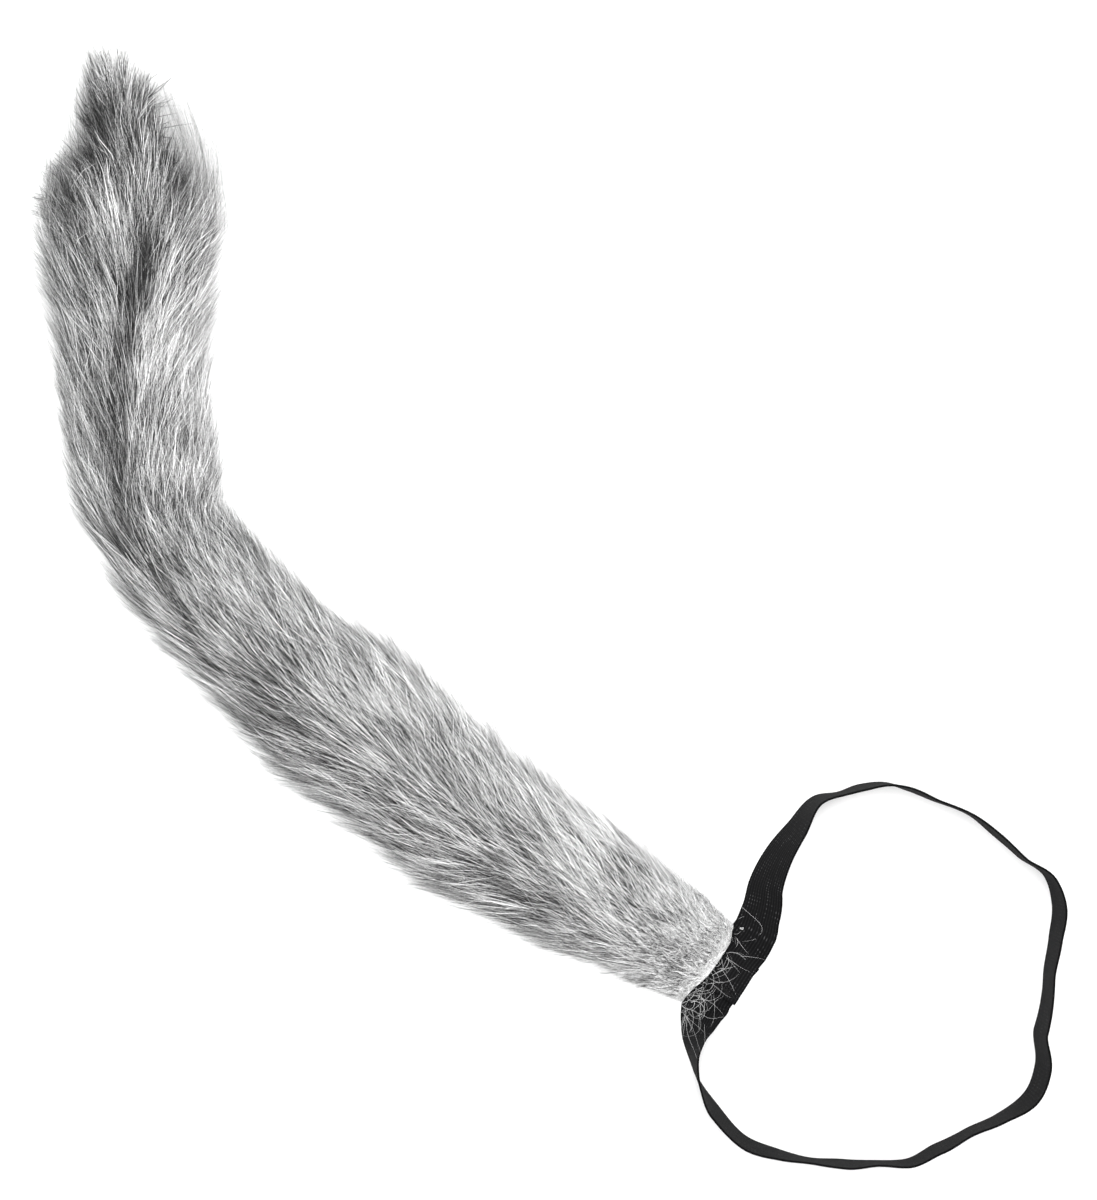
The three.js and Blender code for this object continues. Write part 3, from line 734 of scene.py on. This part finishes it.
def elastic_material():
    """Black ribbed elastic with dark borders and a fine noise. Painted shade makes stripes along its ribs,
    and painted highlights put pale spots on the ribs in random patches.
    """
    shader = Shader("ribbed_elastic", {"Roughness": 0.8, "Specular IOR Level": 0.05, "Sheen Weight": 0.01})
    maths, across = shader.maths, shader.attribute("across")
    # Painted light and shade of the ribs: lighter and darker stripes along them.
    ribs = maths("SINE", maths("MULTIPLY", across, 2 * math.pi * RIBS))
    knots = maths("SINE", maths("MULTIPLY", shader.attribute("along"), 2 * math.pi / DOT_PITCH))
    # Painted highlights: pale spots on the ribs, shown in random patches.
    crest_highlights = maths("MULTIPLY", maths("MAXIMUM", ribs, 0), maths("MAXIMUM", knots, 0))
    highlight_patches = maths("MULTIPLY_ADD", shader.noise(24, 2), 5.0, -2.55)
    crest_highlights = maths("MULTIPLY", crest_highlights, maths("MINIMUM", maths("MAXIMUM", highlight_patches, 0.06), 1.0))
    border = maths("ABSOLUTE", maths("SUBTRACT", across, 0.5))
    border = maths("MULTIPLY", maths("MAXIMUM", maths("SUBTRACT", border, 0.455), 0), -6.0)
    base = maths("ADD", maths("MULTIPLY_ADD", ribs, 0.1, 0.28), border)
    base = maths("ADD", base, maths("MULTIPLY_ADD", shader.noise(900, 3), 0.5, -0.25))
    mixed = maths("MULTIPLY_ADD", crest_highlights, 0.9, base)
    shader.colour(mixed, [(0.0, (0.002, 0.002, 0.0022)), (0.35, (0.006, 0.006, 0.0064)),
                          (1.0, (0.07, 0.07, 0.072))])
    shader.bump(mixed, 0.0003)
    return shader.material


def waist_band():
    """The elastic strip with its ribs and its lap. Returns its points near the joint."""
    per_rib, rows, rounding, near_joint = 3, 290, 0.9, 75
    face = RIBS * per_rib + 1
    v = np.linspace(0, 1, face)
    thick, half_lap = BAND_THICK / 2, OVERLAP / 2
    edge = np.clip(np.minimum(v, 1 - v) * BAND_WIDTH / rounding, 0, 1)
    round_off = np.sqrt(np.clip(1 - (1 - edge) ** 2, 0, 1)) * 0.75 + 0.25
    relief = RIB_DEEP * (1 - np.cos(2 * math.pi * RIBS * v)) / 2
    profile = (thick - RIB_DEEP + relief) * round_off
    length = np.linspace(-half_lap, LAP + half_lap, rows)
    foot, lean, _, inward, across, out = band_frame(length)
    climb_end = LAP - half_lap
    climb = ease(length, climb_end - CLIMB, climb_end) * (BAND_THICK + GAP)
    curl = 0.9 * ease(length, LAP + half_lap - 6, LAP + half_lap)
    base = foot.copy()
    base[:, 2] = np.abs(np.cos(lean)) * thick + climb + curl
    askew = 0.9 * ease(length, climb_end, LAP + half_lap) + 0.8 * (1 - ease(length, -half_lap, -2))
    base = base + inward * askew[:, None]
    ring_v = np.r_[v, v[::-1]]
    ring_h = np.r_[-profile, profile[::-1]]
    points = (base[:, None] + across[:, None] * (ring_v * BAND_WIDTH)[None, :, None]
              + out[:, None] * ring_h[None, :, None])
    cols = 2 * face
    i = np.arange(face - 1)
    cap = np.stack([i, cols - 1 - i, cols - 2 - i, 1 + i], -1)
    quads = np.vstack([grid_faces(rows, cols), cap, (rows - 1) * cols + cap[:, ::-1]])
    floats = {"across": np.tile(ring_v, rows), "along": np.repeat(length, cols)}
    in_band(make_mesh("elastic_band", points.reshape(-1, 3), quads, [], floats, elastic_material()))
    return points[np.linalg.norm(points[..., :2] - seam_foot[:2], axis=-1) < near_joint]


near = waist_band()


def thread(paths, radius, name):
    """Small tubes of black thread along short paths in mm."""
    verts, quads, count, sides = [], [], 0, 6
    for path in paths:
        path = np.array(path, float)
        along = unit(np.gradient(path, axis=0))
        side = unit(np.cross(along, [0.0, 0.0, 1.0]))
        up = np.cross(side, along)
        a = np.linspace(0, 2 * math.pi, sides, endpoint=False)
        swell = radius * np.r_[0.4, np.ones(len(path) - 2), 0.4][:, None, None]
        ring = (side[:, None] * np.cos(a)[None, :, None] + up[:, None] * np.sin(a)[None, :, None]) * swell
        verts.append((path[:, None] + ring).reshape(-1, 3))
        quads.append(grid_faces(len(path), sides)[:, ::-1] + count)
        last = count + (len(path) - 1) * sides
        quads.append(np.array([[0, 1, 2, 3], [0, 3, 4, 5]]) + count)
        quads.append(np.array([[3, 2, 1, 0], [5, 4, 3, 0]]) + last)
        count += len(path) * sides
    shader = Shader("black_thread", {"Base Color": (0.006, 0.006, 0.006, 1), "Roughness": 0.7,
                                     "Specular IOR Level": 0.2})
    in_band(make_mesh(name, np.concatenate(verts), np.concatenate(quads), [], {}, shader.material))


def seam_stitches():
    """Two rows of stitches through the lap, and the dark knot between them."""
    top = 2 * BAND_THICK + GAP + 0.1
    row_at, in_row, margin, knot_ends = 8.5, 9, 0.6, 12
    stitches, knot = [], []
    for row in (-row_at, row_at):
        for i in range(in_row):
            edge = (i + margin) / (in_row + margin)
            path = []
            for along, across_at, rise in ((row - 0.7, edge - 0.03, -0.1), (row, edge, 0.28),
                                           (row + 0.7, edge + 0.03, -0.1)):
                foot, _, _, _, across, _ = band_frame(np.array(along))
                path.append(foot + across * across_at * BAND_WIDTH + [0, 0, top + rise])
            stitches.append(path)
    for _ in range(knot_ends):
        foot, _, run, _, across, _ = band_frame(np.array(7.0 + rng.uniform(-2.6, 2.6)))
        spot = foot + across * (19.5 + rng.uniform(-3, 3)) + [0, 0, top]
        way = rng.uniform(-0.5, 0.5)
        step = (across * math.cos(way) + run * math.sin(way)) * rng.uniform(1.6, 2.8)
        knot.append([spot - step, spot - step * 0.5 + [0, 0, 0.35],
                     spot + step * 0.5 + [0, 0, 0.4], spot + step])
    thread(stitches, 0.22, "lap_stitches")
    thread(knot, 0.3, "lap_knot")


seam_stitches()

# The way to the left of the mouth, and the way ahead of it over the band.
MOUTH_MID = np.append(start, 0.0)
LEFT = np.array([-math.sin(LEAVING), math.cos(LEAVING), 0])
FORE = np.array([-math.cos(LEAVING), -math.sin(LEAVING), 0])

# Single long hairs that lie over the band: mm to the left of the mouth's middle and mm ahead of it.
LONG_HAIRS = [
    [(-34, -3.5), (-33, 7.5), (-30.5, 11), (-26.5, 11.5), (-22, 9), (-19.5, 6)],
    [(-19.5, 3), (-17.5, 8), (-16, 13.5)],
    [(-13, 10.5), (-16, 15.5), (-19, 21)],
    [(-8, 4.5), (-7, 10), (-5.5, 15.5)],
    [(-8, 5.5), (-8, 12.5), (-9, 19.5)],
    [(-5.5, 4), (-2.5, 7), (-2, 10.5)],
    [(-2, 5.5), (1, 13), (5.5, 21)],
    [(20, -0.5), (17.5, 3.5), (17, 8.5), (20, 12), (22.5, 9.5)],
    [(19.5, 12.5), (14, 13.5), (8.5, 15)],
    [(28.5, 3), (29, 9.5), (29, 16)],
    [(26, 14), (30.5, 17), (36, 20)],
    [(26, 1), (24, 8), (22, 14.5), (18.5, 18.5), (16, 21.5)],
    [(29, 5), (31, 9), (34, 12.5)],
    [(11.5, 10.5), (16.5, 14.5), (21.5, 16.5), (25, 17)],
    [(-28, -1.5), (-29.5, -1), (-31, 0)]]

# The band's surface near the joint, for the hairs to lie on.
near_tree = KDTree(len(near))
for index, spot in enumerate(near):
    near_tree.insert((spot[0], spot[1], 0), index)
near_tree.balance()


def lay_on_band(points, lift):
    """Raises hair points so that they rest on the band, or on the table beside it."""
    within, table = 1.5, 0.2
    for strand, rise in zip(points, lift):
        for q in strand:
            below = [near[index, 2] for _, index, _ in near_tree.find_range((q[0], q[1], 0), within)]
            q[2] = max(q[2], max(below, default=table) + rise)
    return points


def loose_hairs():
    """The hairs that lie over the band: a fan, a tangle, a pale speck, short and trailing ones, long ones."""
    k = 16
    t = np.linspace(0, 1, k)
    base = math.atan2(FORE[1], FORE[0])

    def drawn(u, fore, heading, size, curl, height):
        n = len(u)
        begin = MOUTH_MID + LEFT * u[:, None] + FORE * fore[:, None]
        h = base + heading[:, None] + curl[:, None] * t + 0.15 * np.sin(5 * t + rng.uniform(0, 6, (n, 1)))
        step = size[:, None] / (k - 1)
        x = begin[:, :1] + np.cumsum(np.cos(h) * step, 1)
        y = begin[:, 1:2] + np.cumsum(np.sin(h) * step, 1)
        z = rng.uniform(4, 8, (n, 1)) * (1 - ease(t, 0, 0.3))
        return lay_on_band(np.stack([x, y, z], -1), rng.uniform(0.2, height, n))

    n1, n2, n3, n4, n5 = 14, 26, 7, 18, 9
    fan = drawn(rng.uniform(-12, 14, n1), rng.uniform(2, 6, n1), rng.normal(0.1, 0.65, n1),
                rng.uniform(6, 19, n1), rng.normal(0, 1.0, n1), 1.0)
    tangle = drawn(rng.uniform(9, 26, n2), rng.uniform(-1, 5, n2), rng.normal(-0.2, 1.0, n2),
                   rng.uniform(9, 25, n2), rng.uniform(0.2, 5.2, n2) * rng.choice([-1, 1], n2), 2.5)
    knot = drawn(rng.normal(-24.8, 0.4, n3), rng.normal(2.3, 0.4, n3), rng.uniform(-3, 3, n3),
                 rng.uniform(0.8, 1.6, n3), rng.normal(0, 3, n3), 0.6)
    short = drawn(rng.uniform(-23, 26, n4), rng.uniform(0, 3, n4), rng.normal(0, 1.0, n4),
                  rng.uniform(2, 6, n4), rng.normal(0, 1.2, n4), 1.5)
    trailing = drawn(rng.uniform(24, 29, n5), rng.uniform(0, 6, n5), rng.normal(-0.9, 0.35, n5),
                     rng.uniform(10, 22, n5), rng.normal(0, 0.7, n5), 1.5)
    steady = []
    for row in LONG_HAIRS:
        row = np.array(row, float)
        at = np.linspace(0, 1, len(row))
        u, fore = curve(at, row[:, 0])(t), curve(at, row[:, 1])(t)
        steady.append(MOUTH_MID + LEFT * u[:, None] + FORE * fore[:, None])
    steady = lay_on_band(np.array(steady), np.full(len(steady), 0.5))
    points = np.concatenate([fan, tangle, knot, short, trailing, steady])
    half = np.concatenate([rng.uniform(0.042, 0.068, n1 + n2), np.full(n3, 0.08),
                           rng.uniform(0.04, 0.06, n4 + n5), np.full(len(steady), 0.05)])
    tone = np.concatenate([rng.uniform(0.1, 0.9, n1 + n2), np.ones(n3), rng.uniform(0.2, 0.8, n4 + n5),
                           np.full(len(steady), 0.5)])
    up = np.zeros_like(points)
    up[..., 2] = 1
    ribbons = strands(points, up, half, rng.uniform(-0.5, 0.5, len(points)), 0.35)
    hair_piece("loose_hairs", ribbons, np.repeat(tone[:, None], k, 1), loose_material)


loose_hairs()


def mouth_fuzz():
    """Short fine hair that stands every way on the backing next to its cut edge."""
    n, k = int(5200 * many), 5
    rim = rng.random(n) < 0.24
    s0 = np.where(rim, rng.uniform(0.0005, 0.007, n), rng.beta(1.0, 1.7, n) * 0.085 + 0.0012)
    a0 = rng.uniform(-0.3, math.pi + 0.3, n)
    size = np.where(rim, rng.uniform(1.5, 4.5, n), rng.uniform(4, 11, n))
    turn = rng.normal(0, 0.75, n) * (1 + rim) - 0.25 * np.sin(2 * a0)
    curl = rng.normal(0, 0.9, n)
    t = np.linspace(0, 1, k)[None]
    way = turn[:, None] + curl[:, None] * t
    s = s0[:, None] + size[:, None] * t * np.cos(way) / SLEEVE_LEN
    a = a0[:, None] + size[:, None] * t * np.sin(way) / girth(s0)[:, None]
    rise = rng.uniform(0.4, 1.1, n)[:, None] * t ** 0.7
    s = np.maximum(s, -0.001 + 0.002 * rng.random((n, 1)))
    points = tail_point(s, a, rise, True)
    points[..., 2] = np.maximum(points[..., 2], 0.3)
    outward = outward_at(s, a, rise, False)
    ribbons = strands(points, outward, rng.uniform(0.07, 0.13, n), rng.uniform(-0.9, 0.9, n))
    tone = (rng.normal(0.8, 0.3, n) + 0.15 * rim)[:, None] - 0.1 * (1 - t)
    hair_piece("mouth_fuzz", ribbons, np.clip(tone, 0.05, 1))


mouth_fuzz()


def stage():
    """A pale table, even light from all round and two soft lamps."""
    me = bpy.data.meshes.new("table")
    me.from_pydata([(-4, -4, 0), (4, -4, 0), (4, 4, 0), (-4, 4, 0)], [], [(0, 1, 2, 3)])
    table = bpy.data.objects.new("table", me)
    scene.collection.objects.link(table)
    shader = Shader("table_white", {"Base Color": (0.97, 0.97, 0.97, 1), "Roughness": 0.9})
    me.materials.append(shader.material)
    world_data = bpy.data.worlds.new("studio")
    world_data.use_nodes = True
    back = world_data.node_tree.nodes["Background"]
    back.inputs["Color"].default_value = (1, 1, 1, 1)
    back.inputs["Strength"].default_value = 0.9
    scene.world = world_data
    for name, place, size, power in (("key", (0.3, 0.35, 1.6), 1.5, 34), ("fill", (-0.9, -0.6, 1.3), 1.2, 9)):
        data = bpy.data.lights.new(name, "AREA")
        data.size, data.energy = size, power
        lamp = bpy.data.objects.new(name, data)
        lamp.location = place
        scene.collection.objects.link(lamp)
        lamp.rotation_euler = (-Vector(place)).to_track_quat("-Z", "Y").to_euler()


stage()

# The camera looks straight down, as the photo's does, with +Y to the top of the picture.
camera_data = bpy.data.cameras.new("camera")
camera_data.sensor_width = 36
camera_data.lens = 86.5
camera = bpy.data.objects.new("camera", camera_data)
camera.location = (-0.0021, -0.003, 1.5)
camera.rotation_euler = (0, 0, 0)
scene.collection.objects.link(camera)
scene.camera = camera
scene.view_settings.view_transform = "Standard"
